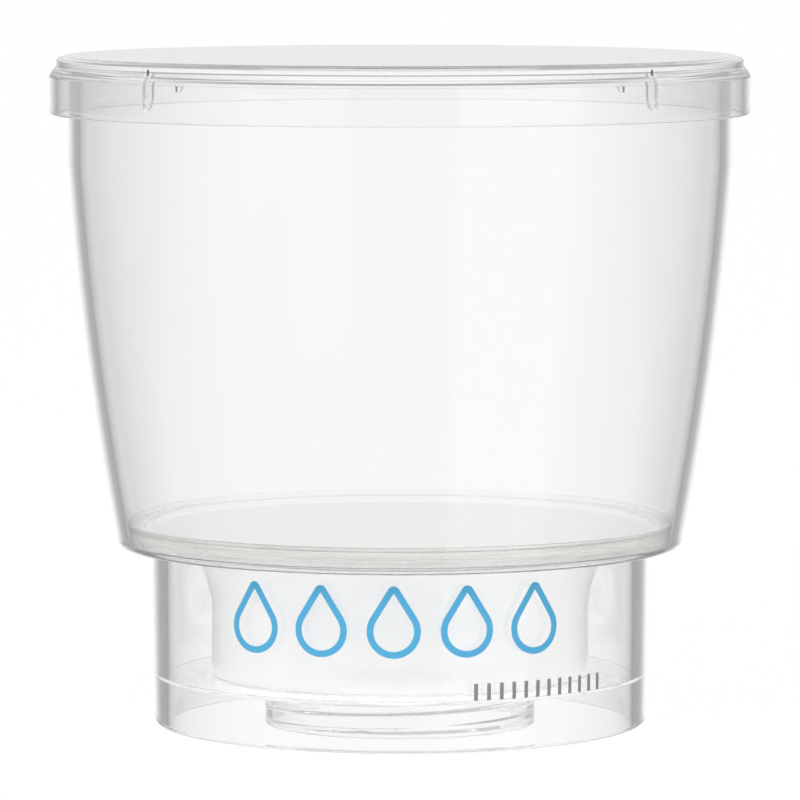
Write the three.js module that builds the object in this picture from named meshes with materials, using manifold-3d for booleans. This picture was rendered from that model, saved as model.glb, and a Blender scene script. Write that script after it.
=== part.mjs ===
// A bottle-top vacuum filtration unit in clear moulded plastic.
// From the top down: a push-on lid, a wide funnel, a sealing ring that clamps a filter
// membrane on a slotted support plate, and a skirted base. The base holds a collecting cup
// with an outlet, a short neck for a 45 mm bottle thread with its seal, and a side port with
// a hose connector and its plug.
// Millimetres, +Z up. The origin is on the axis, in the plane that the base stands on, and
// the hose connector points along +Y.
import * as THREE from 'three';
import { mergeVertices } from 'three/addons/utils/BufferGeometryUtils.js';
import Module from 'manifold-3d';

const wasm = await Module();
wasm.setup();

// ---- driving dimensions ----
const SEGMENTS = 64; // facets round every large turned part
const SMALL_SEGMENTS = 24; // facets round the hose connector and its port
const CORNER_STEPS = 3; // chords in a rounded corner
const GAP = 0.3; // clearance between turned parts that fit in each other

const HEIGHT = 116.5; // floor to the top of the lid

const LID_R = 61; // outside of the lid's skirt
const LID_PLATE = 1.5; // thickness of the lid's top plate
const LID_WALL = 1.4;
const LID_SKIRT_BOTTOM = 106.4;
const LID_SHOULDER = 112.7; // where the skirt ends and the shoulder curves in
const LID_STEP = 1.2; // how far the raised top stands back from the skirt
const LID_RIBS = 4;
const LID_RIB_WIDTH = 2;
const LID_RIB_BOTTOM = 108.4;

const FUNNEL_TOP_R = 57.75; // outside, along the straight band under the lid
const FUNNEL_BAND_BOTTOM = 98; // the straight band is above this height
const FUNNEL_FOOT_R = 49.2; // outside, where the foot's rounded corner starts
const FUNNEL_FOOT_TOP = 32.6;
const FUNNEL_BULGE = 1; // how far the side bows out of a straight cone
const FUNNEL_WALL = 2;
const FUNNEL_SIDE_STEPS = 8;
const FOOT_BOTTOM = 31; // underside of the funnel's foot and of the support plate
const FOOT_CORNER = 1.8;
const TOE_THICKNESS = 1.2; // the flange that turns in at the foot
const TOE_R = 44;

const PLATE_TOP = 33.4; // the membrane lies on this plane
const PLATE_R = 45.2;
const SLOTS = 12;
const SLOT_WIDTH = 2.4;
const SLOT_OUTER_R = 29.5;
const LONG_SLOT_INNER_R = 8;
const SHORT_SLOT_INNER_R = 18;
const MEMBRANE_THICKNESS = 0.3;

const RING_TOP = 36.3;
const RING_BORE_R = 44.6; // the open width of the membrane
const RING_LIP = 1.2; // thickness of the lip that presses the membrane's edge

const SKIRT_TOP_R = 42.9;
const SKIRT_BOTTOM_R = 42.5;
const SKIRT_INNER_R = 39.8;
const SKIRT_RIM = 0.6; // rounding of the rim that the unit stands on
const WEB_TOP = 8.7; // the web joins the skirt to the cup, and is the cup's floor
const WEB = 1.5;
const CUP_R = 33.1;
const CUP_WALL = 1.6;
const CUP_FLARE_START = 19;
const CUP_FLARE = 3.3; // how much wider the cup is at its top
const FILLET = 0.9;
const NECK_R = 23.75;
const NECK_BORE_R = 22.5; // major radius of the bottle thread
const OUTLET_R = 13;
const OUTLET_WALL = 1.2;
const SEAL_R = 18.5;
const SEAL_BORE_R = 15;
const SEAL_THICKNESS = 1.5;

const PORT_HEIGHT = 15.2; // axis of the side port
const PORT_R = 5.25;
const PORT_BORE_R = 4;
const PORT_END = 46; // distance of the port's mouth from the unit's axis
const CONNECTOR_START = 41;
const CONNECTOR_END = 60;
const CONNECTOR_BORE_R = 2.5;
const COLLAR_R = 5.6;
const COLLAR = 1.6;
const STEM_R = 3.4;
const BARB_R = 4.4;
const BARBS = 3;
const BARB_PITCH = 3.4;
const PLUG_START = 49;
const PLUG_LENGTH = 8;

// ---- materials ----
const clear = { color: 0xe9ecee, roughness: 0.06, metalness: 0 };
const FINISHES = {
  clear,
  sealing: { color: 0xcfcdc5, roughness: 0.3, metalness: 0 },
  membrane: { color: 0xf4f4f1, roughness: 0.9, metalness: 0 },
  rubber: { color: 0xe4e4e0, roughness: 0.5, metalness: 0 },
  connector: { color: 0xf0f1f1, roughness: 0.35, metalness: 0 },
  cotton: { color: 0xf7f6f2, roughness: 1, metalness: 0 },
};

// ---- tools ----
// A closed solid from a geometry, with its shared vertices merged.
function solid(geometry) {
  geometry.deleteAttribute('normal');
  geometry.deleteAttribute('uv');
  const merged = mergeVertices(geometry, 1e-4);
  const index = merged.index.array;
  const triVerts = [];
  for (let i = 0; i < index.length; i += 3) {
    const corners = [index[i], index[i + 1], index[i + 2]];
    if (new Set(corners).size === 3) triVerts.push(...corners);
  }
  const vertProperties = merged.attributes.position.array;
  const mesh = new wasm.Mesh({ numProp: 3, vertProperties, triVerts: Uint32Array.from(triVerts) });
  return new wasm.Manifold(mesh);
}

// A profile of (radius, height) points turned about +Z. A closed profile is a ring.
function turned(path, segments = SEGMENTS) {
  const geometry = new THREE.LatheGeometry(path.getPoints(CORNER_STEPS), segments);
  geometry.rotateX(Math.PI / 2);
  return solid(geometry);
}

// A straight bar along +Z with a round section, placed by its two ends.
function bar(radius, start, end) {
  const path = new THREE.Path();
  path.moveTo(0, start).lineTo(radius, start).lineTo(radius, end).lineTo(0, end);
  return turned(path, SMALL_SEGMENTS);
}

// A box between two opposite corners.
function block(low, high) {
  const size = new THREE.Vector3().subVectors(high, low);
  const geometry = new THREE.BoxGeometry(size.x, size.y, size.z);
  geometry.translate(...new THREE.Vector3().addVectors(low, high).multiplyScalar(0.5).toArray());
  return solid(geometry);
}

// A solid made along +Z, turned so that it points along +Y from the port's height.
function alongPort(body) {
  return body.rotate([-90, 0, 0]).translate([0, 0, PORT_HEIGHT]);
}

function part(name, finish, body) {
  const { vertProperties, triVerts } = body.getMesh();
  const geometry = new THREE.BufferGeometry();
  geometry.setAttribute('position', new THREE.BufferAttribute(vertProperties, 3));
  geometry.setIndex(new THREE.BufferAttribute(triVerts, 1));
  const flat = geometry.toNonIndexed();
  flat.computeVertexNormals();
  const mesh = new THREE.Mesh(flat, new THREE.MeshStandardMaterial(FINISHES[finish]));
  mesh.name = name;
  return mesh;
}

// ---- lid ----
// One moulding: a raised top plate, a curved shoulder, a skirt and four inner grip ribs.
function lid() {
  const topR = LID_R - LID_STEP;
  const innerR = LID_R - LID_WALL;
  const raisedInnerR = topR - LID_WALL;
  const underside = HEIGHT - LID_PLATE;
  const path = new THREE.Path();
  path.moveTo(0, underside);
  path.lineTo(raisedInnerR, underside);
  path.lineTo(raisedInnerR, LID_SHOULDER);
  path.lineTo(innerR, LID_SHOULDER - LID_STEP);
  path.lineTo(innerR, LID_SKIRT_BOTTOM);
  path.lineTo(LID_R - 0.3, LID_SKIRT_BOTTOM);
  path.lineTo(LID_R, LID_SKIRT_BOTTOM + 0.4);
  path.lineTo(LID_R, LID_SHOULDER);
  path.quadraticCurveTo(LID_R, LID_SHOULDER + 1, (LID_R + topR) / 2, LID_SHOULDER + 1.2);
  path.quadraticCurveTo(topR, LID_SHOULDER + 1.4, topR, LID_SHOULDER + 2.1);
  path.quadraticCurveTo(topR, HEIGHT, topR - 1.3, HEIGHT);
  path.lineTo(0, HEIGHT);
  let body = turned(path);
  for (let i = 0; i < LID_RIBS; i += 1) {
    body = body.add(lidRib().rotate([0, 0, (360 / LID_RIBS) * (i + 0.5)]));
  }
  return body;
}

// A grip rib inside the lid's skirt: a thin upright fin with a pointed lower end.
function lidRib() {
  const inner = FUNNEL_TOP_R + GAP;
  const outer = LID_R - LID_WALL / 2;
  const step = LID_R - LID_STEP - LID_WALL / 2;
  const top = HEIGHT - LID_PLATE / 2;
  const half = LID_RIB_WIDTH / 2;
  const tip = LID_RIB_BOTTOM + LID_RIB_WIDTH;
  const raised = block(new THREE.Vector3(inner, -half, tip), new THREE.Vector3(step, half, top));
  const shape = new THREE.Shape();
  shape.moveTo(-half, tip);
  shape.quadraticCurveTo(-half, LID_RIB_BOTTOM, 0, LID_RIB_BOTTOM);
  shape.quadraticCurveTo(half, LID_RIB_BOTTOM, half, tip);
  shape.lineTo(half, LID_SHOULDER);
  shape.lineTo(-half, LID_SHOULDER);
  const options = { depth: outer - inner, bevelEnabled: false, curveSegments: CORNER_STEPS };
  const geometry = new THREE.ExtrudeGeometry(shape, options);
  geometry.rotateX(Math.PI / 2);
  geometry.rotateZ(Math.PI / 2);
  geometry.translate(inner, 0, 0);
  return raised.add(solid(geometry));
}

// ---- funnel ----
// Outer radius of the funnel's side, a cone that bows out a little.
function funnelRadius(height) {
  const t = (height - FUNNEL_FOOT_TOP) / (FUNNEL_BAND_BOTTOM - FUNNEL_FOOT_TOP);
  return FUNNEL_FOOT_R + (FUNNEL_TOP_R - FUNNEL_FOOT_R) * t + 4 * FUNNEL_BULGE * t * (1 - t);
}

// One moulding: the side, a straight band at the top, and a toe that turns in at the foot.
function funnel() {
  const rim = HEIGHT - LID_PLATE;
  const toeTop = FOOT_BOTTOM + TOE_THICKNESS;
  const foot = FUNNEL_FOOT_R;
  const innerFoot = foot - FUNNEL_WALL;
  const rise = FUNNEL_BAND_BOTTOM - FUNNEL_FOOT_TOP;
  const heights = [];
  for (let i = 0; i <= FUNNEL_SIDE_STEPS; i += 1) {
    heights.push(FUNNEL_FOOT_TOP + (rise * i) / FUNNEL_SIDE_STEPS);
  }
  const path = new THREE.Path();
  path.moveTo(TOE_R, toeTop);
  path.lineTo(TOE_R, FOOT_BOTTOM);
  path.lineTo(foot - FOOT_CORNER, FOOT_BOTTOM);
  path.quadraticCurveTo(foot, FOOT_BOTTOM, foot, FUNNEL_FOOT_TOP);
  heights.slice(1).forEach((height) => path.lineTo(funnelRadius(height), height));
  path.lineTo(FUNNEL_TOP_R, rim);
  path.lineTo(FUNNEL_TOP_R - FUNNEL_WALL, rim);
  heights.reverse();
  heights.forEach((height) => path.lineTo(funnelRadius(height) - FUNNEL_WALL, height));
  path.lineTo(innerFoot, toeTop);
  path.lineTo(TOE_R, toeTop);
  return turned(path);
}

// ---- filter stack ----
// The ring sits on the funnel's toe, follows the funnel's side, and its lip presses the
// membrane's edge on the plate.
function sealingRing() {
  const toeTop = FOOT_BOTTOM + TOE_THICKNESS;
  const lipBottom = PLATE_TOP + MEMBRANE_THICKNESS;
  const innerR = PLATE_R + GAP;
  const outerLow = FUNNEL_FOOT_R - FUNNEL_WALL - GAP;
  const outerHigh = funnelRadius(RING_TOP) - FUNNEL_WALL - GAP;
  const path = new THREE.Path();
  path.moveTo(innerR, toeTop);
  path.lineTo(outerLow, toeTop);
  path.lineTo(outerHigh, RING_TOP);
  path.lineTo(outerHigh - 0.6, RING_TOP);
  path.quadraticCurveTo(outerHigh - 0.8, lipBottom + RING_LIP, RING_BORE_R, lipBottom + RING_LIP);
  path.lineTo(RING_BORE_R, lipBottom);
  path.lineTo(innerR, lipBottom);
  path.lineTo(innerR, toeTop);
  return turned(path);
}

function membrane() {
  const top = PLATE_TOP + MEMBRANE_THICKNESS;
  const path = new THREE.Path();
  path.moveTo(0, PLATE_TOP).lineTo(PLATE_R, PLATE_TOP).lineTo(PLATE_R, top).lineTo(0, top);
  return turned(path);
}

// The plate rests on the base and on the funnel's toe, and drains through radial slots.
function membraneSupport() {
  const stepR = TOE_R - GAP;
  const toeTop = FOOT_BOTTOM + TOE_THICKNESS;
  const path = new THREE.Path();
  path.moveTo(0, FOOT_BOTTOM);
  path.lineTo(stepR, FOOT_BOTTOM);
  path.lineTo(stepR, toeTop);
  path.lineTo(PLATE_R, toeTop);
  path.lineTo(PLATE_R, PLATE_TOP);
  path.lineTo(0, PLATE_TOP);
  let body = turned(path);
  const pitch = 360 / SLOTS;
  for (let i = 0; i < SLOTS; i += 1) {
    body = body.subtract(slot(LONG_SLOT_INNER_R).rotate([0, 0, pitch * i]));
    body = body.subtract(slot(SHORT_SLOT_INNER_R).rotate([0, 0, pitch * (i + 0.5)]));
  }
  return body;
}

function slot(innerR) {
  const half = SLOT_WIDTH / 2;
  const low = new THREE.Vector3(innerR, -half, FOOT_BOTTOM - 1);
  const high = new THREE.Vector3(SLOT_OUTER_R, half, PLATE_TOP + 1);
  return block(low, high);
}

// ---- base ----
// Outer radius of the collecting cup: straight below, and flaring where it meets the plate.
function cupRadius(height) {
  const t = Math.max(0, (height - CUP_FLARE_START) / (FOOT_BOTTOM - CUP_FLARE_START));
  return CUP_R + CUP_FLARE * t * t;
}

// One moulding: skirt, web, cup with its outlet, neck and the tube of the side port.
function base() {
  const webBottom = WEB_TOP - WEB;
  const flare = [0, 0.4, 0.7, 1].map((t) => CUP_FLARE_START + (FOOT_BOTTOM - CUP_FLARE_START) * t);
  const innerFloor = CUP_R - CUP_WALL;
  const lipR = OUTLET_R + OUTLET_WALL;
  const path = new THREE.Path();
  path.moveTo(SKIRT_TOP_R, FOOT_BOTTOM);
  path.lineTo(SKIRT_INNER_R + 0.1, FOOT_BOTTOM);
  path.lineTo(SKIRT_INNER_R, WEB_TOP + FILLET);
  path.quadraticCurveTo(SKIRT_INNER_R, WEB_TOP, SKIRT_INNER_R - FILLET, WEB_TOP);
  path.lineTo(CUP_R + FILLET, WEB_TOP);
  path.quadraticCurveTo(CUP_R, WEB_TOP, CUP_R, WEB_TOP + FILLET);
  flare.forEach((height) => path.lineTo(cupRadius(height), height));
  flare.reverse();
  flare.forEach((height) => path.lineTo(cupRadius(height) - CUP_WALL, height));
  path.lineTo(innerFloor, WEB_TOP + FILLET);
  path.quadraticCurveTo(innerFloor, WEB_TOP, innerFloor - FILLET, WEB_TOP);
  path.lineTo(OUTLET_R, WEB_TOP);
  path.lineTo(OUTLET_R, webBottom - SEAL_THICKNESS);
  path.lineTo(lipR, webBottom - SEAL_THICKNESS);
  path.lineTo(lipR, webBottom);
  path.lineTo(NECK_BORE_R, webBottom);
  path.lineTo(NECK_BORE_R, 0);
  path.lineTo(NECK_R, 0);
  path.lineTo(NECK_R, webBottom);
  path.lineTo(SKIRT_INNER_R - 0.2, webBottom);
  path.lineTo(SKIRT_INNER_R, SKIRT_RIM);
  path.lineTo(SKIRT_INNER_R + SKIRT_RIM, 0);
  path.lineTo(SKIRT_BOTTOM_R - SKIRT_RIM, 0);
  path.quadraticCurveTo(SKIRT_BOTTOM_R, 0, SKIRT_BOTTOM_R, SKIRT_RIM);
  path.lineTo(SKIRT_TOP_R, FOOT_BOTTOM);
  const tube = alongPort(bar(PORT_R, CUP_R - CUP_WALL / 2, PORT_END));
  const bore = alongPort(bar(PORT_BORE_R, CUP_R - 3 * CUP_WALL, PORT_END + 1));
  return turned(path).add(tube).subtract(bore);
}

// A flat ring that the bottle's rim presses against, between the outlet's lip and the neck.
function neckSeal() {
  const top = WEB_TOP - WEB;
  const bottom = top - SEAL_THICKNESS;
  const path = new THREE.Path();
  path.moveTo(SEAL_BORE_R, bottom);
  path.lineTo(SEAL_R, bottom);
  path.lineTo(SEAL_R, top);
  path.lineTo(SEAL_BORE_R, top);
  path.lineTo(SEAL_BORE_R, bottom);
  return turned(path);
}

// ---- side port ----
// A spigot that plugs into the port, a collar, and a stem with barbs for the hose.
function hoseConnector() {
  const collarEnd = PORT_END + COLLAR;
  const barbsEnd = CONNECTOR_END - 0.8;
  const path = new THREE.Path();
  path.moveTo(CONNECTOR_BORE_R, CONNECTOR_START);
  path.lineTo(PORT_BORE_R - GAP, CONNECTOR_START);
  path.lineTo(PORT_BORE_R - GAP, PORT_END);
  path.lineTo(COLLAR_R, PORT_END);
  path.lineTo(COLLAR_R, collarEnd);
  path.lineTo(STEM_R, collarEnd);
  for (let i = BARBS; i > 0; i -= 1) {
    const start = barbsEnd - i * BARB_PITCH;
    path.lineTo(STEM_R, start);
    path.lineTo(BARB_R, start + 0.3);
    path.lineTo(STEM_R, start + BARB_PITCH - 0.4);
  }
  path.lineTo(STEM_R, CONNECTOR_END);
  path.lineTo(CONNECTOR_BORE_R, CONNECTOR_END);
  path.lineTo(CONNECTOR_BORE_R, CONNECTOR_START);
  return alongPort(turned(path, SMALL_SEGMENTS));
}

function portPlug() {
  return alongPort(bar(CONNECTOR_BORE_R - GAP, PLUG_START, PLUG_START + PLUG_LENGTH));
}

// ---- assembly ----
const unit = new THREE.Group();
unit.add(
  part('lid', 'clear', lid()),
  part('funnel', 'clear', funnel()),
  part('sealing_ring', 'sealing', sealingRing()),
  part('membrane', 'membrane', membrane()),
  part('membrane_support', 'clear', membraneSupport()),
  part('base', 'clear', base()),
  part('neck_seal', 'rubber', neckSeal()),
  part('hose_connector', 'connector', hoseConnector()),
  part('port_plug', 'cotton', portPlug()),
);

export default unit;
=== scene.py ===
# A clear bottle-top vacuum filtration unit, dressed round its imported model.
# Profiles are in millimetres as (radius, height) and become metres in turned_body().
import math

import bmesh
import bpy
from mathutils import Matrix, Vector

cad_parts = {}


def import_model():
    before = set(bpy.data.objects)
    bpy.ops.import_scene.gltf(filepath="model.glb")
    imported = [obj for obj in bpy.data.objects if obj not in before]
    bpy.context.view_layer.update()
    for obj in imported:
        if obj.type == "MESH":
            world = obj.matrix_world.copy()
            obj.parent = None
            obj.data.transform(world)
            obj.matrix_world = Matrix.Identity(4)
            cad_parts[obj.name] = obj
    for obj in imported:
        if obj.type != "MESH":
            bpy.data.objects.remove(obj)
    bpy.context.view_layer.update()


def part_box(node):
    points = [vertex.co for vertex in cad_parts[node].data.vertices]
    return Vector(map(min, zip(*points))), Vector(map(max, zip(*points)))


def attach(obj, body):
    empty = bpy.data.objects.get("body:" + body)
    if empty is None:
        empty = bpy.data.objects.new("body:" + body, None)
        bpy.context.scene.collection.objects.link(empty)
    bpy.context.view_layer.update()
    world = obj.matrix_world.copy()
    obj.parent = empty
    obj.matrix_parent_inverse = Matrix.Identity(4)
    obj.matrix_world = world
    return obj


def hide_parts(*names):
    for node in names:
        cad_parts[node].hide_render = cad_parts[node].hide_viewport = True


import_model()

MM = 0.001
SEGMENTS = 192            # facets round the large turned pieces
FILLET_STEPS = 5          # chords in each rounded corner
GUARD = 0.04              # a ring this close to each rounded corner keeps the flats flat
MERGE = 2e-6              # points closer than this many metres are one point

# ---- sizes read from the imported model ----
def top_of(node):
    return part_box(node)[1][2] / MM


def bottom_of(node):
    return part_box(node)[0][2] / MM


def radius_of(node):
    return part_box(node)[1][0] / MM


UNIT_TOP = top_of("lid")
SKIRT_LOW = bottom_of("lid")
LID_R = radius_of("lid")
RIM = top_of("funnel")
FOOT = bottom_of("funnel")
FUNNEL_R = radius_of("funnel")
RING_TOP = top_of("sealing_ring")
TOE_TOP = bottom_of("sealing_ring")
PLATE_TOP = top_of("membrane_support")
PLATE_R = radius_of("membrane_support")
MEMBRANE_TOP = top_of("membrane")
SKIRT_R = radius_of("base") + 0.5  # the dressed skirt is a little wider than its solid
SEAL_LOW = bottom_of("neck_seal")
WEB_LOW = top_of("neck_seal")
SEAL_R = radius_of("neck_seal")
PORT_Z = (top_of("port_plug") + bottom_of("port_plug")) / 2
SEAM = 0.05               # hairline between two pieces that touch
CUT_PAST = 1.0            # how far a cutting tool reaches past what it cuts

# ---- sizes of the clear mouldings ----
LID_WALL = 1.4
LID_STEP = 1.2
LID_SHOULDER = 113.0      # height where the skirt turns in to the shoulder
LID_SHOULDER_IN = 113.6   # height where the shoulder meets the raised top inside
LID_EDGE = (60.5, 113.9)  # radius and height of the edge half way up the shoulder
LID_CROWN = 114.7         # height where the shoulder meets the raised top outside
CROWN_STEPS = [(0.0, 0.8, 0.4), (0.35, 0.4, 0.3), (1.5, 0.0, 1.0)]  # in, down, rounding
LID_RIBS = 4
LID_RIB_WIDTH = 1.1
LID_RIB_LOW = 108.4       # height of its lower tip
LID_RIB_CURVE = 2.6       # height over which it runs out to that tip
LID_RIB_GAP = 0.3         # between it and the funnel
LID_RIB_ROOT = 0.4        # how far it reaches into the lid's top
LID_RIB_STEPS = 6
FUNNEL_WALL = 2.0
BAND_LOW = 98.0           # the funnel is straight above this height
FOOT_R = 49.5
FOOT_ROUNDING = 1.3
FOOT_CORNER_TOP = 32.6
FUNNEL_BULGE = 1.0
FUNNEL_STEPS = 16         # rings up the funnel's curved side
TOE_R = 44.0
RING_BORE_R = 44.6
RING_LIP = 1.2
RING_GAP = 0.3            # between the ring and what it fits
RING_CREST_DROP = 0.5     # its rounded crest ends this far below the solid's top
RING_CREST = (0.15, 0.75, 0.9)  # how far in its crest's corners and the crest's foot are
SLOT_ROWS = ((8.0, 0), (18.0, 15))  # inner end, and first angle in degrees
SLOT_END = 29.5
SLOT_HALF_WIDTH = 1.2
SLOTS = 12                # in each row
SKIRT_INNER_R = 40.6
SKIRT_LOW_R = 43.0
WEB = 1.5
WEB_RIM = 0.5             # the web thins to this where it meets the skirt
CUP_R = 33.1
CUP_WALL = 1.6
CUP_FLARE = 3.3
CUP_FLARE_LOW = 19.0
CUP_STEPS = 10            # rings up the cup's flare
FROST_GAP = 0.3           # clear height and clear radius left round the frosted wall
NECK_R = 23.75
NECK_BORE_R = 22.5
OUTLET_R = 13.0
OUTLET_WALL = 1.2
SEAL_BORE_R = 15.0
PORT_R = 5.25
PORT_BORE_R = 4.0
PORT_END = 46.0
THREAD_PITCH = 4.0
THREAD_DEPTH = 0.4
THREAD_LOW = 0.5
THREAD_HIGH = WEB_LOW - 0.7
THREAD_STEPS = 36         # rings that carry the ridge
THREAD_FADE = 0.8         # height over which the ridge fades at each end
THREAD_FADE_LOW = 0.6
THREAD_FADE_HIGH = WEB_LOW - 0.9
THREAD_FLANK = 7.0        # steepness of the ridge's flanks
THREAD_CREST = 1.9        # width of its flat crest, on the same scale
PLUG_R = 2.2
PLUG_START = 49.0
PLUG_END = 57.0


# ---- profiles ----
def along(a, b, distance):
    """The point at a distance from a towards b."""
    length = math.dist(a, b)
    return (a[0] + (b[0] - a[0]) * distance / length, a[1] + (b[1] - a[1]) * distance / length)


def rounded_corner(before, corner, after, radius):
    """Points of an arc that rounds a corner, with a guard point on each side of it."""
    a = Vector(before) - Vector(corner)
    b = Vector(after) - Vector(corner)
    turn = math.pi - a.angle(b)
    if radius <= 0 or turn < 0.01:
        return [corner]
    reach = min(radius * math.tan(turn / 2), 0.45 * min(a.length, b.length))
    radius = reach / math.tan(turn / 2)
    start = Vector(along(corner, before, reach))
    middle = (a.normalized() + b.normalized()).normalized()
    centre = Vector(corner) + middle * math.hypot(radius, reach)
    spoke = start - centre
    side = 1 if spoke.x * (Vector(corner) - centre).y > spoke.y * (Vector(corner) - centre).x else -1
    points = [along(corner, before, reach + GUARD)]
    for i in range(FILLET_STEPS + 1):
        angle = side * turn * i / FILLET_STEPS
        c, s = math.cos(angle), math.sin(angle)
        points.append((centre.x + c * spoke.x - s * spoke.y, centre.y + s * spoke.x + c * spoke.y))
    points.append(along(corner, after, reach + GUARD))
    return points


def rounded_profile(corners, closed):
    """Points of a profile whose corners are (radius, height, rounding)."""
    points = []
    last = len(corners) - 1
    for i, (r, z, rounding) in enumerate(corners):
        if not closed and i in (0, last):
            points.append((r, z))
            continue
        before = corners[i - 1][:2]
        after = corners[(i + 1) % len(corners)][:2]
        points += rounded_corner(before, (r, z), after, rounding)
    return points


# ---- geometry node trees ----
def new_tree(name, sockets):
    """A geometry node tree with named inputs, and its first and last nodes."""
    tree = bpy.data.node_groups.new(name, "GeometryNodeTree")
    tree.interface.new_socket("Geometry", in_out="INPUT", socket_type="NodeSocketGeometry")
    for label, kind in sockets:
        tree.interface.new_socket(label, in_out="INPUT", socket_type=kind)
    tree.interface.new_socket("Geometry", in_out="OUTPUT", socket_type="NodeSocketGeometry")
    return tree, tree.nodes.new("NodeGroupInput"), tree.nodes.new("NodeGroupOutput")


def turned_tree():
    """Turns a profile about the Z axis; X is its radius less a metre, and Y runs down."""
    tree, source, result = new_tree(
        "Turned body", [("Segments", "NodeSocketInt"), ("Finish", "NodeSocketMaterial")]
    )
    nodes, link = tree.nodes, tree.links.new
    profile = nodes.new("GeometryNodeMeshToCurve")
    circle = nodes.new("GeometryNodeCurvePrimitiveCircle")
    circle.inputs["Radius"].default_value = 1.0
    upright = nodes.new("GeometryNodeSetCurveNormal")
    upright.mode = "Z_UP"
    sweep = nodes.new("GeometryNodeCurveToMesh")
    merge = nodes.new("GeometryNodeMergeByDistance")
    merge.inputs["Distance"].default_value = MERGE
    realize = nodes.new("GeometryNodeRealizeInstances")
    finish = nodes.new("GeometryNodeSetMaterial")
    link(source.outputs["Geometry"], profile.inputs["Mesh"])
    link(source.outputs["Segments"], circle.inputs["Resolution"])
    link(circle.outputs["Curve"], upright.inputs["Curve"])
    link(upright.outputs["Curve"], sweep.inputs["Curve"])
    link(profile.outputs["Curve"], sweep.inputs["Profile Curve"])
    link(sweep.outputs["Mesh"], merge.inputs["Geometry"])
    link(merge.outputs["Geometry"], realize.inputs["Geometry"])
    link(realize.outputs["Geometry"], finish.inputs["Geometry"])
    link(source.outputs["Finish"], finish.inputs["Material"])
    link(finish.outputs["Geometry"], result.inputs["Geometry"])
    return tree


def copies_tree():
    """Copies a shape round the Z axis, from a first angle and by a step angle."""
    tree, source, result = new_tree(
        "Copies round the axis",
        [
            ("Count", "NodeSocketInt"),
            ("First Angle", "NodeSocketFloat"),
            ("Step Angle", "NodeSocketFloat"),
            ("Finish", "NodeSocketMaterial"),
        ],
    )
    nodes, link = tree.nodes, tree.links.new
    places = nodes.new("GeometryNodeMeshLine")
    places.inputs["Offset"].default_value = (0, 0, 0)
    index = nodes.new("GeometryNodeInputIndex")
    angle = nodes.new("ShaderNodeMath")
    angle.operation = "MULTIPLY_ADD"
    rotation = nodes.new("ShaderNodeCombineXYZ")
    copy = nodes.new("GeometryNodeInstanceOnPoints")
    realize = nodes.new("GeometryNodeRealizeInstances")
    finish = nodes.new("GeometryNodeSetMaterial")
    link(source.outputs["Count"], places.inputs["Count"])
    link(index.outputs["Index"], angle.inputs[0])
    link(source.outputs["Step Angle"], angle.inputs[1])
    link(source.outputs["First Angle"], angle.inputs[2])
    link(angle.outputs["Value"], rotation.inputs["Z"])
    link(places.outputs["Mesh"], copy.inputs["Points"])
    link(source.outputs["Geometry"], copy.inputs["Instance"])
    link(rotation.outputs["Vector"], copy.inputs["Rotation"])
    link(copy.outputs["Instances"], realize.inputs["Geometry"])
    link(realize.outputs["Geometry"], finish.inputs["Geometry"])
    link(source.outputs["Finish"], finish.inputs["Material"])
    link(finish.outputs["Geometry"], result.inputs["Geometry"])
    return tree


def grown(obj, tree, values):
    """Runs a tree on an object and keeps the result as its plain mesh."""
    modifier = obj.modifiers.new(tree.name, "NODES")
    modifier.node_group = tree
    for item in tree.interface.items_tree:
        if item.in_out == "INPUT" and item.name in values:
            modifier[item.identifier] = values[item.name]
    keep_evaluated(obj)
    return obj


def keep_evaluated(obj):
    """Makes the result of a piece's modifiers its plain mesh."""
    depsgraph = bpy.context.evaluated_depsgraph_get()
    mesh = bpy.data.meshes.new_from_object(obj.evaluated_get(depsgraph))
    mesh.name = obj.name
    obj.modifiers.clear()
    obj.data = mesh


def mesh_object(name, vertices, edges=(), faces=()):
    mesh = bpy.data.meshes.new(name)
    mesh.from_pydata(vertices, edges, faces)
    obj = bpy.data.objects.new(name, mesh)
    bpy.context.scene.collection.objects.link(obj)
    return obj


def outward(obj, smooth_angle=40):
    """Merges doubles, turns the faces outwards and shades all but the sharp edges smooth."""
    work = bmesh.new()
    work.from_mesh(obj.data)
    bmesh.ops.remove_doubles(work, verts=work.verts, dist=MERGE)
    bmesh.ops.recalc_face_normals(work, faces=work.faces)
    work.to_mesh(obj.data)
    work.free()
    obj.data.shade_smooth()
    obj.data.set_sharp_from_angle(angle=math.radians(smooth_angle))


def turned_body(name, corners, material, closed=True, segments=SEGMENTS):
    """A piece turned from a profile of (radius, height, rounding) in millimetres."""
    points = rounded_profile(corners, closed)
    vertices = [(r * MM - 1, -z * MM, 0) for r, z in points]
    edges = [(i, i + 1) for i in range(len(points) - 1)]
    if closed:
        edges.append((len(points) - 1, 0))
    obj = mesh_object(name, vertices, edges)
    grown(obj, TURNED, {"Segments": segments, "Finish": material})
    outward(obj)
    return obj


def copies(name, item, count, first, step, material):
    """Copies of a shape round the axis, as one mesh. Angles are in degrees."""
    values = {"Count": count, "First Angle": math.radians(first), "Step Angle": math.radians(step)}
    item.name = name
    grown(item, COPIES, values | {"Finish": material})
    outward(item)
    return item


def block(name, low, high):
    """A box between two corners in millimetres."""
    corners = [
        (x * MM, y * MM, z * MM)
        for x in (low[0], high[0]) for y in (low[1], high[1]) for z in (low[2], high[2])
    ]
    faces = [(0, 1, 3, 2), (4, 6, 7, 5), (0, 4, 5, 1), (2, 3, 7, 6), (0, 2, 6, 4), (1, 5, 7, 3)]
    obj = mesh_object(name, corners, (), faces)
    outward(obj)
    return obj


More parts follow.
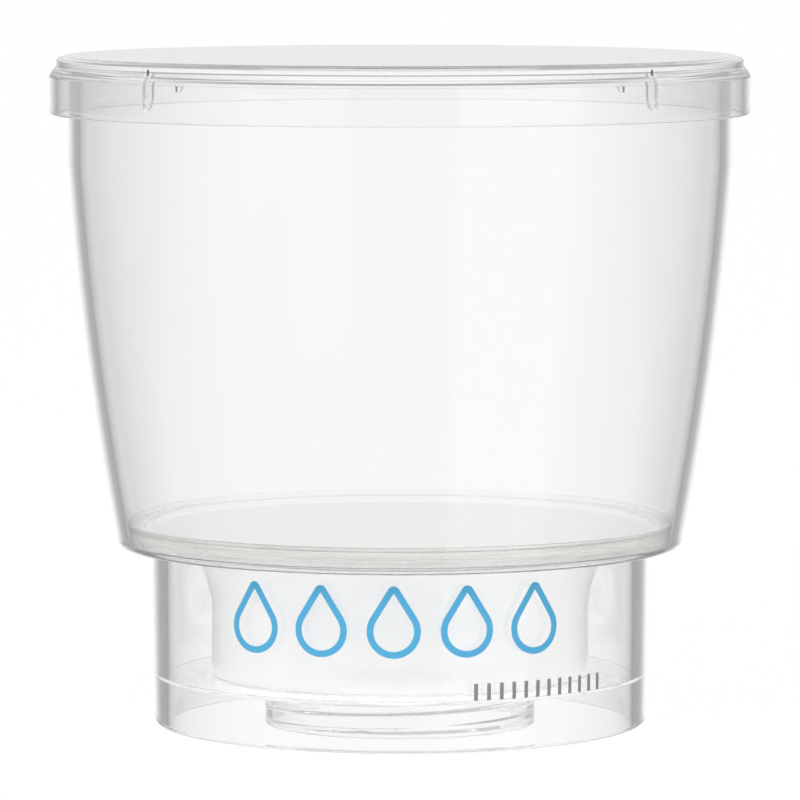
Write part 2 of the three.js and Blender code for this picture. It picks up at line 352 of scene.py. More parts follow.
def combined(obj, tool, operation):
    """Joins a tool to a piece, or cuts the piece with it, and drops the tool."""
    modifier = obj.modifiers.new(operation, "BOOLEAN")
    modifier.operation = operation
    modifier.solver = "EXACT"
    modifier.object = tool
    keep_evaluated(obj)
    bpy.data.objects.remove(tool)
    outward(obj)


def lie_along_port(obj):
    """Turns a piece made along +Z so that it lies along +Y at the port's height."""
    for v in obj.data.vertices:
        x, y, z = v.co
        v.co = (x, z, PORT_Z * MM - y)


TURNED = turned_tree()
COPIES = copies_tree()


# ---- materials ----
PLASTIC_IOR = 1.59
EDGE_SHADE = 0.22         # painted shade: share of a dark shader mixed in where a wall turns light back
FLAT_SHARE = 0.0          # share of that on level faces
CUP_SHARE = 0.2           # share of that on the thin walls near the axis
STREAKS_UP = 1400.0       # streaks per metre up the sealing ring ...
STREAKS_ROUND = 40.0      # ... and round it
MILK = 0.5                # share of the cup that scatters light as white plastic does
FROST = 0.13              # roughness of the collecting cup
CLEAR_COLOUR = (0.988, 0.988, 0.987, 1)
# colour of the painted shade mixed into the clear plastic
SHADE_COLOUR = (0.02, 0.02, 0.022, 1)
# black of the painted shade lines at sharp moulded edges
SHADE_LINE_TONE = (0, 0, 0, 1)
RING_COLOUR = (0.985, 0.983, 0.975, 1)
RING_DARK = (0.60, 0.585, 0.555, 1)
RING_PALE = (0.86, 0.85, 0.825, 1)
RING_IOR = 1.5
RING_RAMP = (0.3, 0.65)   # noise levels between which the ring goes from dark to pale
OUTER_FACE = (0.3, 0.7)   # a face turned outwards this much starts and ends the streaks
SHADE_FROM = (0.06, 0.7)  # mirrored share of the light at which the shade starts and is full
STEEP_FROM = (0.25, 0.9)  # a face is a wall below the first and level above the second
AXIS_FROM = (0.0375, 0.0395)  # metres from the axis at which the outer walls start


def new_material(name):
    """A node material with its nodes, its link function and its surface shader."""
    material = bpy.data.materials.new(name)
    material.use_nodes = True
    nodes = material.node_tree.nodes
    return material, nodes, material.node_tree.links.new, nodes["Principled BSDF"]


def put(link, socket, value):
    """Sets a socket to a number or a colour, or links it to another node's output."""
    if isinstance(value, (int, float, tuple)):
        socket.default_value = value
    else:
        link(value, socket)


def math_node(nodes, link, operation, *values):
    node = nodes.new("ShaderNodeMath")
    node.operation = operation
    for socket, value in zip(node.inputs, values):
        put(link, socket, value)
    return node.outputs["Value"]


def vector_node(nodes, link, operation, *values):
    node = nodes.new("ShaderNodeVectorMath")
    node.operation = operation
    for socket, value in zip(node.inputs, values):
        put(link, socket, value)
    return node.outputs["Value" if operation in ("LENGTH", "DOT_PRODUCT") else "Vector"]


def levelled(nodes, link, vector):
    """The part of a vector that lies level."""
    return vector_node(nodes, link, "MULTIPLY", vector, (1, 1, 0))


def stepped(nodes, link, value, low, high, at_low=0.0, at_high=1.0):
    """Eases from one level to another as a value passes from low to high."""
    node = nodes.new("ShaderNodeMapRange")
    node.interpolation_type = "SMOOTHSTEP"
    put(link, node.inputs["Value"], value)
    put(link, node.inputs["From Min"], low)
    put(link, node.inputs["From Max"], high)
    put(link, node.inputs["To Min"], at_low)
    put(link, node.inputs["To Max"], at_high)
    return node.outputs["Result"]


def new_shader_group(name, inputs):
    """A shader node group with named number inputs that puts out one mask."""
    group = bpy.data.node_groups.new(name, "ShaderNodeTree")
    for label in inputs:
        group.interface.new_socket(label, in_out="INPUT", socket_type="NodeSocketFloat")
    group.interface.new_socket("Mask", in_out="OUTPUT", socket_type="NodeSocketFloat")
    given = group.nodes.new("NodeGroupInput").outputs
    result = group.nodes.new("NodeGroupOutput").inputs["Mask"]
    return group, given, result


def placed_group(nodes, group, values):
    """Places a shader group in a material with its own values and gives its mask."""
    node = nodes.new("ShaderNodeGroup")
    node.node_tree = group
    for label, value in values.items():
        node.inputs[label].default_value = value
    return node.outputs["Mask"]


def upright_wall_group():
    """Where the painted shade goes: 1 on upright outer walls, with a smaller share on level faces and
    on walls near the axis.
    """
    group, given, result = new_shader_group("Upright outer wall", ("Level Share", "Axis Share"))
    nodes, link = group.nodes, group.links.new
    place = nodes.new("ShaderNodeTexCoord")
    side = nodes.new("ShaderNodeNewGeometry")
    upright = nodes.new("ShaderNodeSeparateXYZ")
    link(side.outputs["Normal"], upright.inputs["Vector"])
    distance = vector_node(nodes, link, "LENGTH", levelled(nodes, link, place.outputs["Object"]))
    steep = math_node(nodes, link, "ABSOLUTE", upright.outputs["Z"])
    wall = stepped(nodes, link, steep, *STEEP_FROM, 1.0, given["Level Share"])
    outer = stepped(nodes, link, distance, *AXIS_FROM, given["Axis Share"], 1.0)
    link(math_node(nodes, link, "MULTIPLY", wall, outer), result)
    return group


def shade_line_group():
    """A painted shade line round a piece at one height, standing in for the dark line a sharp moulded
    edge shows.
    """
    group, given, result = new_shader_group("Painted shade line", ("Height", "Half Width", "Darkness"))
    nodes, link = group.nodes, group.links.new
    place = nodes.new("ShaderNodeTexCoord")
    spot = nodes.new("ShaderNodeSeparateXYZ")
    link(place.outputs["Object"], spot.inputs["Vector"])
    gap = math_node(nodes, link, "SUBTRACT", spot.outputs["Z"], given["Height"])
    gap = math_node(nodes, link, "ABSOLUTE", gap)
    core = math_node(nodes, link, "MULTIPLY", given["Half Width"], 0.5)
    link(stepped(nodes, link, gap, core, given["Half Width"], given["Darkness"], 0.0), result)
    return group


UPRIGHT_WALL = upright_wall_group()
SHADE_LINE_MASK = shade_line_group()


def clear_plastic(name, shade_lines=(), frost=0.0, milk=0.0):
    """Clear polystyrene, with painted shade: a dark shader is mixed in where light is turned back
    once inside a wall, as at its edges.

    Each painted shade line is (height, half width, darkness), in millimetres.
    """
    material, nodes, link, plastic = new_material(name)
    plastic.inputs["Base Color"].default_value = CLEAR_COLOUR
    plastic.inputs["Roughness"].default_value = frost
    plastic.inputs["IOR"].default_value = PLASTIC_IOR
    plastic.inputs["Transmission Weight"].default_value = 1.0 - milk
    fresnel = nodes.new("ShaderNodeFresnel")
    fresnel.inputs["IOR"].default_value = PLASTIC_IOR
    side = nodes.new("ShaderNodeNewGeometry")
    path = nodes.new("ShaderNodeLightPath")
    shares = {"Level Share": FLAT_SHARE, "Axis Share": CUP_SHARE}
    wall = placed_group(nodes, UPRIGHT_WALL, shares)
    share = stepped(nodes, link, fresnel.outputs["Fac"], *SHADE_FROM, 0.0, EDGE_SHADE)
    first = math_node(nodes, link, "LESS_THAN", path.outputs["Glossy Depth"], 0.5)
    for factor in (wall, first, side.outputs["Backfacing"]):
        share = math_node(nodes, link, "MULTIPLY", share, factor)
    # painted shade: a near-black shader mixed in where light is turned back once inside a wall
    dark = nodes.new("ShaderNodeBsdfDiffuse")
    dark.inputs["Color"].default_value = SHADE_COLOUR
    mix = nodes.new("ShaderNodeMixShader")
    link(share, mix.inputs["Fac"])
    link(plastic.outputs["BSDF"], mix.inputs[1])
    link(dark.outputs["BSDF"], mix.inputs[2])
    link(mix.outputs["Shader"], nodes["Material Output"].inputs["Surface"])
    colour = CLEAR_COLOUR
    # painted shade lines: the plastic's colour turns dark in thin bands at set heights
    for height, half_width, darkness in shade_lines:
        line = {"Height": height * MM, "Half Width": half_width * MM, "Darkness": darkness}
        shaded = nodes.new("ShaderNodeMix")
        shaded.data_type = "RGBA"
        link(placed_group(nodes, SHADE_LINE_MASK, line), shaded.inputs["Factor"])
        put(link, shaded.inputs["A"], colour)
        put(link, shaded.inputs["B"], SHADE_LINE_TONE)
        colour = shaded.outputs["Result"]
        link(colour, plastic.inputs["Base Color"])
    return material


def plain(name, colour, roughness, transmission=0.0):
    """A finish that is the same all over."""
    material, _, _, surface = new_material(name)
    surface.inputs["Base Color"].default_value = (*colour, 1)
    surface.inputs["Roughness"].default_value = roughness
    surface.inputs["Transmission Weight"].default_value = transmission
    return material


def ring_plastic():
    """Clear plastic whose outer face, against the funnel, is streaked and faintly yellow."""
    material, nodes, link, plastic = new_material("sealing_ring")
    plastic.inputs["Roughness"].default_value = 0.0
    plastic.inputs["IOR"].default_value = RING_IOR
    plastic.inputs["Transmission Weight"].default_value = 1.0
    place = nodes.new("ShaderNodeTexCoord")
    side = nodes.new("ShaderNodeNewGeometry")
    spot = place.outputs["Object"]
    outward_way = vector_node(nodes, link, "NORMALIZE", levelled(nodes, link, spot))
    facing = vector_node(nodes, link, "DOT_PRODUCT", outward_way, side.outputs["Normal"])
    stretch = (STREAKS_ROUND, STREAKS_ROUND, STREAKS_UP)
    streaks = nodes.new("ShaderNodeTexNoise")
    streaks.inputs["Scale"].default_value = 1.0
    streaks.inputs["Detail"].default_value = 2.0
    streaks.inputs["Roughness"].default_value = 0.6
    tint = nodes.new("ShaderNodeValToRGB")
    for element, level, colour in zip(tint.color_ramp.elements, RING_RAMP, (RING_DARK, RING_PALE)):
        element.position = level
        element.color = colour
    finish = nodes.new("ShaderNodeMix")
    finish.data_type = "RGBA"
    finish.inputs["A"].default_value = RING_COLOUR
    link(vector_node(nodes, link, "MULTIPLY", spot, stretch), streaks.inputs["Vector"])
    link(streaks.outputs["Fac"], tint.inputs["Fac"])
    outer = stepped(nodes, link, facing, *OUTER_FACE)
    seen_from_outside = math_node(nodes, link, "SUBTRACT", 1.0, side.outputs["Backfacing"])
    link(math_node(nodes, link, "MULTIPLY", outer, seen_from_outside), finish.inputs["Factor"])
    link(tint.outputs["Color"], finish.inputs["B"])
    link(finish.outputs["Result"], plastic.inputs["Base Color"])
    return material


# Painted shade lines at sharp moulded edges: height, half the width of the line, and its darkness
LID_SHADE_LINES = [(113.0, 0.12, 0.19), (106.55, 0.12, 0.226)]
FOOT_SHADE_LINES = [(31.85, 0.14, 0.294), (31.1, 0.36, 0.72)]
LID_CLEAR = clear_plastic("clear_plastic_lid", LID_SHADE_LINES)
FUNNEL_CLEAR = clear_plastic("clear_plastic_funnel", FOOT_SHADE_LINES)
MATT_CLEAR = plain("clear_plastic_matt", (0.985, 0.986, 0.99), 0.35, 1.0)
BASE_CLEAR = clear_plastic("clear_plastic_base")
CUP_CLEAR = clear_plastic("clear_plastic_frosted_cup", frost=FROST, milk=MILK)
RING = ring_plastic()
WHITE = plain("membrane", (0.82, 0.82, 0.815), 0.9)
SILICONE = plain("seal_rubber", (0.62, 0.62, 0.61), 0.4, 0.25)
NATURAL = plain("connector_plastic", (0.97, 0.97, 0.96), 0.15, 0.9)
COTTON = plain("cotton", (0.94, 0.94, 0.92), 1.0)
BLUE = plain("blue_ink", (0.043, 0.27, 0.455), 0.4)
GREY = plain("grey_ink", (0.16, 0.16, 0.17), 0.4)


# ---- lid ----
def lid():
    top_r = LID_R - LID_STEP
    inner_r = LID_R - LID_WALL
    raised_r = top_r - LID_WALL
    corners = [
        (0, RIM, 0),
        (raised_r, RIM, 0.5),
        (raised_r, LID_SHOULDER_IN, 0.4),
        (inner_r, LID_SHOULDER, 0.4),
        (inner_r, SKIRT_LOW, 0.3),
        (LID_R, SKIRT_LOW, 0.4),
        (LID_R, LID_SHOULDER, 0.6),
        (*LID_EDGE, 0.4),
        (top_r, LID_CROWN, 0.15),
    ]
    corners += [(top_r - inward, UNIT_TOP - down, rounding) for inward, down, rounding in CROWN_STEPS]
    corners += [(0, UNIT_TOP, 0)]
    body = turned_body("lid_moulding", corners, LID_CLEAR, closed=False)
    step = 360 / LID_RIBS
    ribs = copies("lid_ribs", lid_rib(), LID_RIBS, step / 2, step, LID_CLEAR)
    combined(body, ribs, "UNION")
    return body


def lid_rib():
    """One grip rib: a thin gusset inside the skirt that runs out to nothing at its lower tip."""
    half = LID_RIB_WIDTH / 2
    back = LID_R - LID_WALL / 2
    inner = FUNNEL_R + LID_RIB_GAP
    skin = LID_R - LID_WALL
    top = RIM + LID_RIB_ROOT
    outline = [(back, top), (inner, top), (inner, LID_RIB_LOW + LID_RIB_CURVE)]
    for i in range(1, LID_RIB_STEPS + 1):
        angle = math.pi / 2 * i / LID_RIB_STEPS
        r = inner + (skin - inner) * (1 - math.cos(angle))
        outline.append((r, LID_RIB_LOW + LID_RIB_CURVE * (1 - math.sin(angle))))
    outline.append((back, LID_RIB_LOW))
    n = len(outline)
    vertices = [(r * MM, y * MM, z * MM) for y in (-half, half) for r, z in outline]
    faces = [tuple(range(n)), tuple(range(n, 2 * n))]
    faces += [(i, (i + 1) % n, n + (i + 1) % n, n + i) for i in range(n)]
    obj = mesh_object("lid_rib", vertices, (), faces)
    outward(obj)
    return obj


# ---- funnel ----
def funnel_radius(height):
    """Outer radius of the funnel's side: a cone that bows out a little."""
    t = (height - FOOT_CORNER_TOP) / (BAND_LOW - FOOT_CORNER_TOP)
    return FOOT_R + (FUNNEL_R - FOOT_R) * t + 4 * FUNNEL_BULGE * t * (1 - t)


def funnel():
    rise = (BAND_LOW - FOOT_CORNER_TOP) / FUNNEL_STEPS
    side = [FOOT_CORNER_TOP + rise * i for i in range(1, FUNNEL_STEPS + 1)]
    inner_foot = funnel_radius(FOOT_CORNER_TOP) - FUNNEL_WALL
    corners = [(TOE_R, TOE_TOP, 0.2), (TOE_R, FOOT, 0.2), (funnel_radius(FOOT), FOOT, FOOT_ROUNDING)]
    corners += [(funnel_radius(z), z, 0) for z in side]
    corners += [(FUNNEL_R, RIM - SEAM, 0.4), (FUNNEL_R - FUNNEL_WALL, RIM - SEAM, 0.4)]
    corners += [(funnel_radius(z) - FUNNEL_WALL, z, 0) for z in reversed(side)]
    corners += [(inner_foot, TOE_TOP, 0.3)]
    return turned_body("funnel_moulding", corners, FUNNEL_CLEAR)


# ---- filter stack ----
def sealing_ring():
    lip_low = MEMBRANE_TOP + SEAM
    lip_top = MEMBRANE_TOP + RING_LIP
    inner = PLATE_R + RING_GAP
    low_r = FOOT_R - FUNNEL_WALL - RING_GAP
    high_r = funnel_radius(RING_TOP) - FUNNEL_WALL - RING_GAP
    top = RING_TOP - RING_CREST_DROP
    crest_outer, crest_inner, crest_foot = (high_r - inward for inward in RING_CREST)
    corners = [
        (inner, TOE_TOP + SEAM, 0.1),
        (low_r, TOE_TOP + SEAM, 0.3),
        (crest_outer, top, 0.3),
        (crest_inner, top, 0.3),
        (crest_foot, lip_top, 0.6),
        (RING_BORE_R, lip_top, 0.3),
        (RING_BORE_R, lip_low, 0.1),
        (inner, lip_low, 0.1),
    ]
    return turned_body("membrane_ring", corners, RING)


def membrane():
    corners = [
        (0, PLATE_TOP, 0),
        (PLATE_R, PLATE_TOP, 0.05),
        (PLATE_R, MEMBRANE_TOP, 0.1),
        (0, MEMBRANE_TOP, 0),
    ]
    return turned_body("filter_sheet", corners, WHITE, closed=False)


def support_plate():
    step_r = TOE_R - RING_GAP
    top = PLATE_TOP - SEAM
    corners = [
        (0, FOOT, 0),
        (step_r, FOOT, 0.2),
        (step_r, TOE_TOP + SEAM, 0.1),
        (PLATE_R, TOE_TOP + SEAM, 0.1),
        (PLATE_R, top, 0.1),
        (0, top, 0),
    ]
    plate = turned_body("slotted_plate", corners, MATT_CLEAR, closed=False)
    for inner, first in SLOT_ROWS:
        low = (inner, -SLOT_HALF_WIDTH, FOOT - CUT_PAST)
        high = (SLOT_END, SLOT_HALF_WIDTH, top + CUT_PAST)
        slots = copies("slots", block("slot", low, high), SLOTS, first, 360 / SLOTS, MATT_CLEAR)
        combined(plate, slots, "DIFFERENCE")
    return plate


# ---- base ----
def cup_radius(height):
    t = max(0, (height - CUP_FLARE_LOW) / (FOOT - CUP_FLARE_LOW))
    return CUP_R + CUP_FLARE * t * t


def base():
    top = FOOT - SEAM
    web_top = WEB_LOW + WEB
    flare = [CUP_FLARE_LOW + (top - CUP_FLARE_LOW) * i / CUP_STEPS for i in range(CUP_STEPS)]
    cup_in = CUP_R - CUP_WALL
    lip_r = OUTLET_R + OUTLET_WALL
    corners = [
        (SKIRT_R, top, 0.25),
        (SKIRT_INNER_R + 0.1, top, 0.25),
        (SKIRT_INNER_R, web_top, 0.1),
        (CUP_R, web_top, 0.3),
    ]
    corners += [(cup_radius(z), z, 0) for z in flare]
    corners += [(cup_radius(top), top, 0.2), (cup_radius(top) - CUP_WALL, top, 0.2)]
    corners += [(cup_radius(z) - CUP_WALL, z, 0) for z in reversed(flare)]
    corners += [
        (cup_in, web_top, 1.2),
        (OUTLET_R, web_top, 0.5),
        (OUTLET_R, SEAL_LOW, 0.3),
        (lip_r, SEAL_LOW, 0.3),
        (lip_r, WEB_LOW, 0.2),
        (NECK_BORE_R, WEB_LOW, 0.4),
    ]
    corners += [(NECK_BORE_R, z, 0) for z in thread_rings()]
    corners += [
        (NECK_BORE_R, 0, 0.3),
        (NECK_R, 0, 0.4),
        (NECK_R, WEB_LOW, 0.3),
        (SKIRT_INNER_R, web_top - WEB_RIM, 0.1),
        (SKIRT_INNER_R, 0, 0.6),
        (SKIRT_LOW_R, 0, 0.6),
    ]
    body = turned_body("base_moulding", corners, BASE_CLEAR)
    cut_thread(body)
    tube = port_bar(PORT_R, CUP_R - CUP_WALL / 2, PORT_END)
    combined(body, tube, "UNION")
    bore = port_bar(PORT_BORE_R, CUP_R - 3 * CUP_WALL, PORT_END + CUT_PAST)
    combined(body, bore, "DIFFERENCE")
    frost_cup(body, web_top + FROST_GAP)
    return body


def frost_cup(body, low):
    """Gives the cup's wall, above a height and well inside the skirt, its frosted finish."""
    body.data.materials.clear()
    for finish in (BASE_CLEAR, CUP_CLEAR):
        body.data.materials.append(finish)
    for face in body.data.polygons:
        spot = face.center / MM
        inside = math.hypot(spot.x, spot.y) < CUP_R + CUP_FLARE + FROST_GAP
        face.material_index = 1 if inside and spot.z > low else 0


def thread_rings():
    """Heights down the neck's bore, close enough together to carry the thread's ridge."""
    drop = THREAD_HIGH - THREAD_LOW
    return [THREAD_HIGH - drop * i / THREAD_STEPS for i in range(THREAD_STEPS + 1)]


def cut_thread(body):
    """Raises the bottle thread's ridge on the inside of the neck."""
    for v in body.data.vertices:
        r = math.hypot(v.co.x, v.co.y) / MM
        z = v.co.z / MM
        if abs(r - NECK_BORE_R) > 0.01 or not THREAD_LOW - 0.1 < z < THREAD_HIGH + 0.1:
            continue
        angle = math.atan2(v.co.y, v.co.x) / (2 * math.pi)
        phase = (z / THREAD_PITCH - angle) % 1.0
        ridge = max(0.0, min(1.0, THREAD_CREST - abs(phase - 0.5) * THREAD_FLANK))
        room = min(z - THREAD_FADE_LOW, THREAD_FADE_HIGH - z)
        fade = max(0.0, min(1.0, room / THREAD_FADE))
        scale = 1 - THREAD_DEPTH * ridge * fade / NECK_BORE_R
        v.co.x *= scale
        v.co.y *= scale


def port_bar(radius, start, end):
    """A round bar along the side port, for its tube and its bore."""
    corners = [(0, start, 0), (radius, start, 0), (radius, end, 0), (0, end, 0)]
    bar = turned_body("port_bar", corners, BASE_CLEAR, closed=False, segments=48)
    lie_along_port(bar)
    outward(bar)
    return bar


def neck_seal():
    top = WEB_LOW - SEAM
    corners = [
        (SEAL_BORE_R, SEAL_LOW, 0.3),
        (SEAL_R, SEAL_LOW, 0.3),
        (SEAL_R, top, 0.2),
        (SEAL_BORE_R, top, 0.2),
    ]
    return turned_body("seal_gasket", corners, SILICONE)


# ---- side port ----
def hose_connector():
    bore, spigot, collar, stem, barb = 2.5, PORT_BORE_R - 0.3, 5.6, 3.4, 4.4
    start, end = 41.0, 60.0
    collar_top = PORT_END + 1.6
    barbs, pitch, rise, tip = 3, 3.4, 0.3, 0.8
    corners = [
        (bore, start, 0.2),
        (spigot, start, 0.3),
        (spigot, PORT_END, 0.1),
        (collar, PORT_END, 0.3),
        (collar, collar_top, 0.3),
        (stem, collar_top, 0.3),
    ]
    for i in range(barbs, 0, -1):
        foot = end - tip - i * pitch
        corners += [(stem, foot, 0.1), (barb, foot + rise, 0.15), (stem, foot + pitch - 0.4, 0.3)]
    corners += [(stem, end, 0.3), (bore, end, 0.3)]
    body = turned_body("barbed_connector", corners, NATURAL, segments=64)
    lie_along_port(body)
    outward(body)
    return body


def port_plug():
    corners = [
        (0, PLUG_START, 0),
        (PLUG_R, PLUG_START, 0.4),
        (PLUG_R, PLUG_END, 0.4),
        (0, PLUG_END, 0),
    ]
    body = turned_body("cotton_plug", corners, COTTON, closed=False, segments=48)
    lie_along_port(body)
    outward(body)
    return body


# ---- printing on the skirt ----
INK = 0.05                # the print's face stands this far off the skirt ...
INK_LOW = 0.01            # ... and its back this far
DROPS = 5
DROP_LOW, DROP_HIGH = 16.3, 28.6
DROP_PITCH = 16.6         # degrees round the skirt
DROP_MIDDLE = -1.4        # degrees to the right of the front
DROP_BELLY = 0.36         # radius of its round part, as a share of its height
DROP_TIP = 0.5            # radius of its tip
BELLY_STEPS, TIP_STEPS = 32, 8
STROKE = 1.15
TICKS = 12
TICK_WIDTH = 0.7
TICK_LOW, TICK_HIGH = 8.9, 11.8
TICK_PITCH = 3.1
TICK_FIRST = 17.3


def skirt_radius(height):
    return SKIRT_LOW_R + (SKIRT_R - SKIRT_LOW_R) * height / (FOOT - SEAM)


def printed_line(name, path, width, closed=True):
    """A printed stroke on the front of the skirt along a path of (distance right, height)."""
    n = len(path)
    vertices = []
    for i, (u, v) in enumerate(path):
        before = path[i - 1] if closed or i else path[i]
        after = path[(i + 1) % n] if closed or i < n - 1 else path[i]
        run = Vector((after[0] - before[0], after[1] - before[1])).normalized()
        for side, lift in ((-1, INK), (1, INK), (1, INK_LOW), (-1, INK_LOW)):
            across, z = u - side * run.y * width / 2, v + side * run.x * width / 2
            r = skirt_radius(z) + lift
            angle = across / skirt_radius(z)
            vertices.append((r * math.sin(angle) * MM, -r * math.cos(angle) * MM, z * MM))
    faces = []
    for i in range(n if closed else n - 1):
        a, b = 4 * i, 4 * ((i + 1) % n)
        faces += [(a + k, a + (k + 1) % 4, b + (k + 1) % 4, b + k) for k in range(4)]
    if not closed:
        faces += [(0, 1, 2, 3), tuple(4 * (n - 1) + k for k in range(4))]
    obj = mesh_object(name, vertices, (), faces)
    outward(obj)
    return obj


def drop_path():
    """Outline of a drop: round below, with straight sides that meet in a rounded tip."""
    low, high = DROP_LOW + STROKE / 2, DROP_HIGH - STROKE / 2
    belly = DROP_BELLY * (high - low)
    middle, point = low + belly, high - DROP_TIP
    lean = math.asin((belly - DROP_TIP) / (point - middle))
    arcs = [
        (middle, belly, math.pi - lean, 2 * math.pi + lean, BELLY_STEPS),
        (point, DROP_TIP, lean, math.pi - lean, TIP_STEPS),
    ]
    path = []
    for centre, r, start, end, steps in arcs:
        for i in range(steps + 1):
            angle = start + (end - start) * i / steps
            path.append((r * math.cos(angle), centre + r * math.sin(angle)))
    return path


def blue_drops():
    drop = printed_line("drop", drop_path(), STROKE)
    first = DROP_MIDDLE - DROP_PITCH * (DROPS - 1) / 2
    return copies("blue_printed_drops", drop, DROPS, first, DROP_PITCH, BLUE)


def grey_ticks():
    path = [(0, TICK_LOW), (0, TICK_HIGH)]
    tick = printed_line("tick", path, TICK_WIDTH, closed=False)
    return copies("grey_printed_ticks", tick, TICKS, TICK_FIRST, TICK_PITCH, GREY)


# ---- place the pieces ----
PIECES = [
    (lid, "lid", "lid", "clear_plastic"),
    (funnel, "funnel", "unit", "clear_plastic"),
    (sealing_ring, "sealing_ring", "unit", "sealing_ring"),
    (membrane, "membrane", "unit", "membrane"),
    (support_plate, "membrane_support", "unit", "clear_plastic"),
    (base, "base", "unit", "clear_plastic"),
    (neck_seal, "neck_seal", "unit", "seal_rubber"),
    (hose_connector, "hose_connector", "unit", "connector_plastic"),
    (port_plug, "port_plug", "unit", "cotton"),
]
for make, node, body, slot in PIECES:
    piece = make()
    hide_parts(node)
    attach(piece, body)
for make in (blue_drops, grey_ticks):
    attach(make(), "unit")


# ---- studio ----
LIGHT_LEVEL = 0.9         # the sky for open surfaces that scatter light
SKY_TOP = 2.0             # brightest level that a curve of the sky can give
# Brightness of the sky at each height: for surfaces behind clear plastic, and seen through it
SCATTERED_LEVELS = [(0.0, 1.4), (0.35, 1.27), (0.7, 1.02), (1.0, 0.98)]
THROUGH_LEVELS = [(0.0, 1.0), (0.1, 1.0), (0.3, 0.88), (0.6, 1.05), (1.0, 1.2)]
PIPED_TURNS = (8.0, 30.0)  # light that a wall turns back this often comes out ...
PIPED_LEVELS = (0.95, 0.5)  # ... this bright
GLOSS_BASE = 0.4          # what a reflection shows between the lights
SOFT_LIGHTS = [
    # azimuth, half angles it fades between, heights it rises between and fades between, brightness
    (0, (60, 110), (-3.0, -2.0), (2.0, 3.0), 0.36),
    (180, (4, 27), (-3.0, -2.0), (-0.08, 0.2), 0.66),
    (180, (60, 100), (0.04, 0.12), (0.4, 0.7), 0.55),
    (31, (8, 13), (-3.0, -2.0), (0.08, 0.2), 0.45),
    (42, (14, 24), (-3.0, -2.0), (0.04, 0.12), 0.3),
]
FLOOR_HALF = 6.0
FLOOR_COLOUR = (0.85, 0.85, 0.85, 1)
FLOOR_GLOW = 0.96         # how white the table is where it is seen
WHITE_LIGHT = (1, 1, 1, 1)
SOFTBOXES = [
    # name, place, width and height, power
    ("left_softbox", (-0.7, -0.9, 0.5), (0.35, 0.9), 6),
    ("right_softbox", (0.5, -1.0, 0.4), (0.2, 0.9), 4),
]
SOFTBOX_AIM = (0, 0, 0.06)
CAMERA_PLACE = (0, -1.056, 0.1505)
CAMERA_AIM = (0, 0, 0.0562)
CAMERA_LENS = 272.8
CAMERA_REACH = 50
CLEAR_BOUNCES = 64        # turns that light may take in clear plastic
SCATTER_BOUNCES = 16


def sky_level(nodes, link, height, levels):
    """Brightness of the sky by the height of the ray's direction."""
    curve = nodes.new("ShaderNodeFloatCurve")
    points = curve.mapping.curves[0].points
    for i, (place, level) in enumerate(levels):
        if i < 2:
            point = points[i]
            point.location = (place, level / SKY_TOP)
        else:
            point = points.new(place, level / SKY_TOP)
        point.handle_type = "VECTOR"
    curve.mapping.update()
    link(height, curve.inputs["Value"])
    return math_node(nodes, link, "MULTIPLY", curve.outputs["Value"], SKY_TOP)


def toward(nodes, link, flat, azimuth, inner, outer):
    """1 in a sector round an azimuth (degrees right of the front), easing to 0 at its edges."""
    angle = math.radians(azimuth)
    way = (math.sin(angle), -math.cos(angle), 0)
    near = vector_node(nodes, link, "DOT_PRODUCT", flat, way)
    return stepped(nodes, link, near, math.cos(math.radians(outer)), math.cos(math.radians(inner)))


def reflected_level(nodes, link, direction, height):
    """What reflections show: grey in front, white behind, and a tall soft light at the right."""
    flat = vector_node(nodes, link, "NORMALIZE", levelled(nodes, link, direction))
    total = GLOSS_BASE
    for azimuth, half_angles, rising, falling, amount in SOFT_LIGHTS:
        sector = toward(nodes, link, flat, azimuth, *half_angles)
        rise = stepped(nodes, link, height, *rising, 0.0, amount)
        fall = stepped(nodes, link, height, *falling, 1.0, 0.0)
        band = math_node(nodes, link, "MULTIPLY", rise, fall)
        total = math_node(nodes, link, "MULTIPLY_ADD", sector, band, total)
    return math_node(nodes, link, "MINIMUM", total, 1.0)


def world():
    """The studio's sky, with a level of its own for each kind of ray."""
    scene = bpy.context.scene
    scene.world = bpy.data.worlds.new("studio")
    scene.world.use_nodes = True
    nodes = scene.world.node_tree.nodes
    link = scene.world.node_tree.links.new
    background = nodes["Background"]
    place = nodes.new("ShaderNodeTexCoord")
    direction = place.outputs["Generated"]
    split = nodes.new("ShaderNodeSeparateXYZ")
    link(direction, split.inputs["Vector"])
    height = split.outputs["Z"]
    path = nodes.new("ShaderNodeLightPath")
    turns = path.outputs["Glossy Depth"]
    mirrored = math_node(nodes, link, "GREATER_THAN", turns, 0.5)
    piped = math_node(nodes, link, "GREATER_THAN", turns, 1.5)
    scattered = math_node(nodes, link, "GREATER_THAN", path.outputs["Diffuse Depth"], 0.5)
    choices = [
        (path.outputs["Is Transmission Ray"], sky_level(nodes, link, height, THROUGH_LEVELS)),
        (path.outputs["Is Camera Ray"], 1.0),
        (mirrored, reflected_level(nodes, link, direction, height)),
        (piped, stepped(nodes, link, turns, *PIPED_TURNS, *PIPED_LEVELS)),
        (scattered, sky_level(nodes, link, height, SCATTERED_LEVELS)),
    ]
    level = LIGHT_LEVEL
    for kind, value in choices:
        pick = nodes.new("ShaderNodeMix")
        link(kind, pick.inputs["Factor"])
        put(link, pick.inputs["A"], level)
        put(link, pick.inputs["B"], value)
        level = pick.outputs["Result"]
    link(level, background.inputs["Strength"])
    background.inputs["Color"].default_value = WHITE_LIGHT


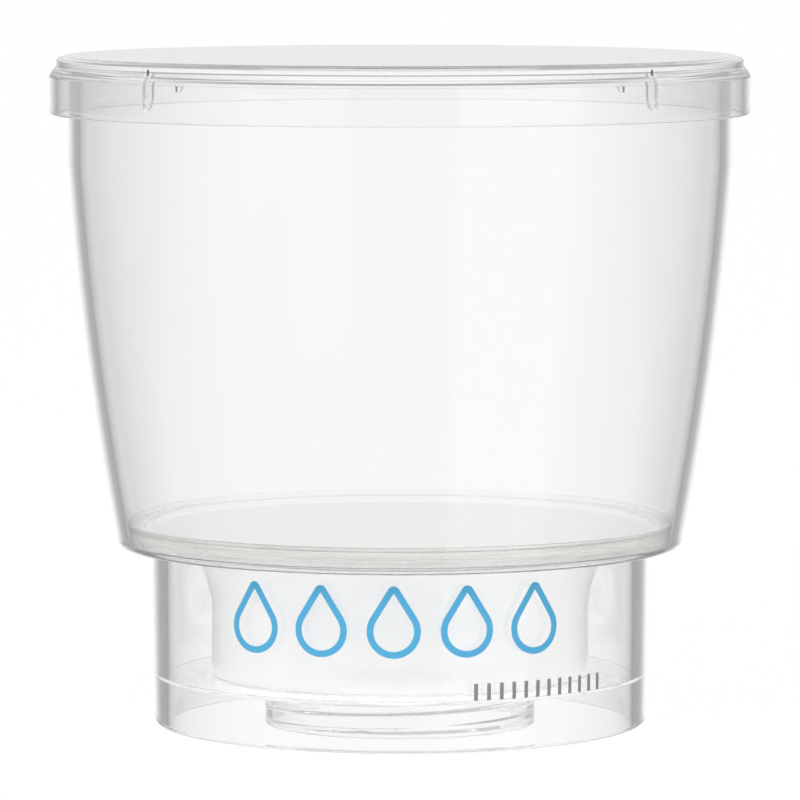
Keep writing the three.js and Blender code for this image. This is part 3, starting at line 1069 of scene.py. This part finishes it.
def floor():
    """White table. Reflections pass through it to the studio's own light and dark."""
    half = FLOOR_HALF
    corners = [(-half, -half, 0), (half, -half, 0), (half, half, 0), (-half, half, 0)]
    obj = mesh_object("floor", corners, (), [(0, 1, 2, 3)])
    material, nodes, link, surface = new_material("studio_floor")
    surface.inputs["Base Color"].default_value = FLOOR_COLOUR
    surface.inputs["Roughness"].default_value = 1.0
    surface.inputs["Specular IOR Level"].default_value = 0.0
    glow = nodes.new("ShaderNodeEmission")
    glow.inputs["Color"].default_value = WHITE_LIGHT
    open_floor = nodes.new("ShaderNodeBsdfTransparent")
    path = nodes.new("ShaderNodeLightPath")
    seen = math_node(nodes, link, "SUBTRACT", FLOOR_GLOW, path.outputs["Is Diffuse Ray"])
    seen = math_node(nodes, link, "MAXIMUM", seen, 0.0)
    mirrored = math_node(nodes, link, "GREATER_THAN", path.outputs["Glossy Depth"], 0.5)
    white = nodes.new("ShaderNodeMixShader")
    mix = nodes.new("ShaderNodeMixShader")
    link(seen, white.inputs["Fac"])
    link(surface.outputs["BSDF"], white.inputs[1])
    link(glow.outputs["Emission"], white.inputs[2])
    link(mirrored, mix.inputs["Fac"])
    link(white.outputs["Shader"], mix.inputs[1])
    link(open_floor.outputs["BSDF"], mix.inputs[2])
    link(mix.outputs["Shader"], nodes["Material Output"].inputs["Surface"])
    obj.data.materials.append(material)


def aimed(obj, place, aim):
    """Puts a lamp or the camera in its place, looking at a point."""
    obj.location = place
    obj.rotation_euler = (Vector(aim) - Vector(place)).to_track_quat("-Z", "Y").to_euler()
    bpy.context.scene.collection.objects.link(obj)


def softbox(name, place, size, power):
    data = bpy.data.lights.new(name, "AREA")
    data.shape = "RECTANGLE"
    data.size, data.size_y = size
    data.energy = power
    obj = bpy.data.objects.new(name, data)
    obj.visible_glossy = False
    obj.visible_transmission = False
    aimed(obj, place, SOFTBOX_AIM)


def camera():
    data = bpy.data.cameras.new("camera")
    data.lens = CAMERA_LENS
    data.clip_end = CAMERA_REACH
    obj = bpy.data.objects.new("camera", data)
    aimed(obj, CAMERA_PLACE, CAMERA_AIM)
    bpy.context.scene.camera = obj


floor()
world()
for name, place, size, power in SOFTBOXES:
    softbox(name, place, size, power)
camera()
scene = bpy.context.scene
scene.view_settings.view_transform = "Standard"
scene.cycles.max_bounces = CLEAR_BOUNCES
scene.cycles.transmission_bounces = CLEAR_BOUNCES
scene.cycles.glossy_bounces = CLEAR_BOUNCES
scene.cycles.diffuse_bounces = SCATTER_BOUNCES
scene.cycles.blur_glossy = 0
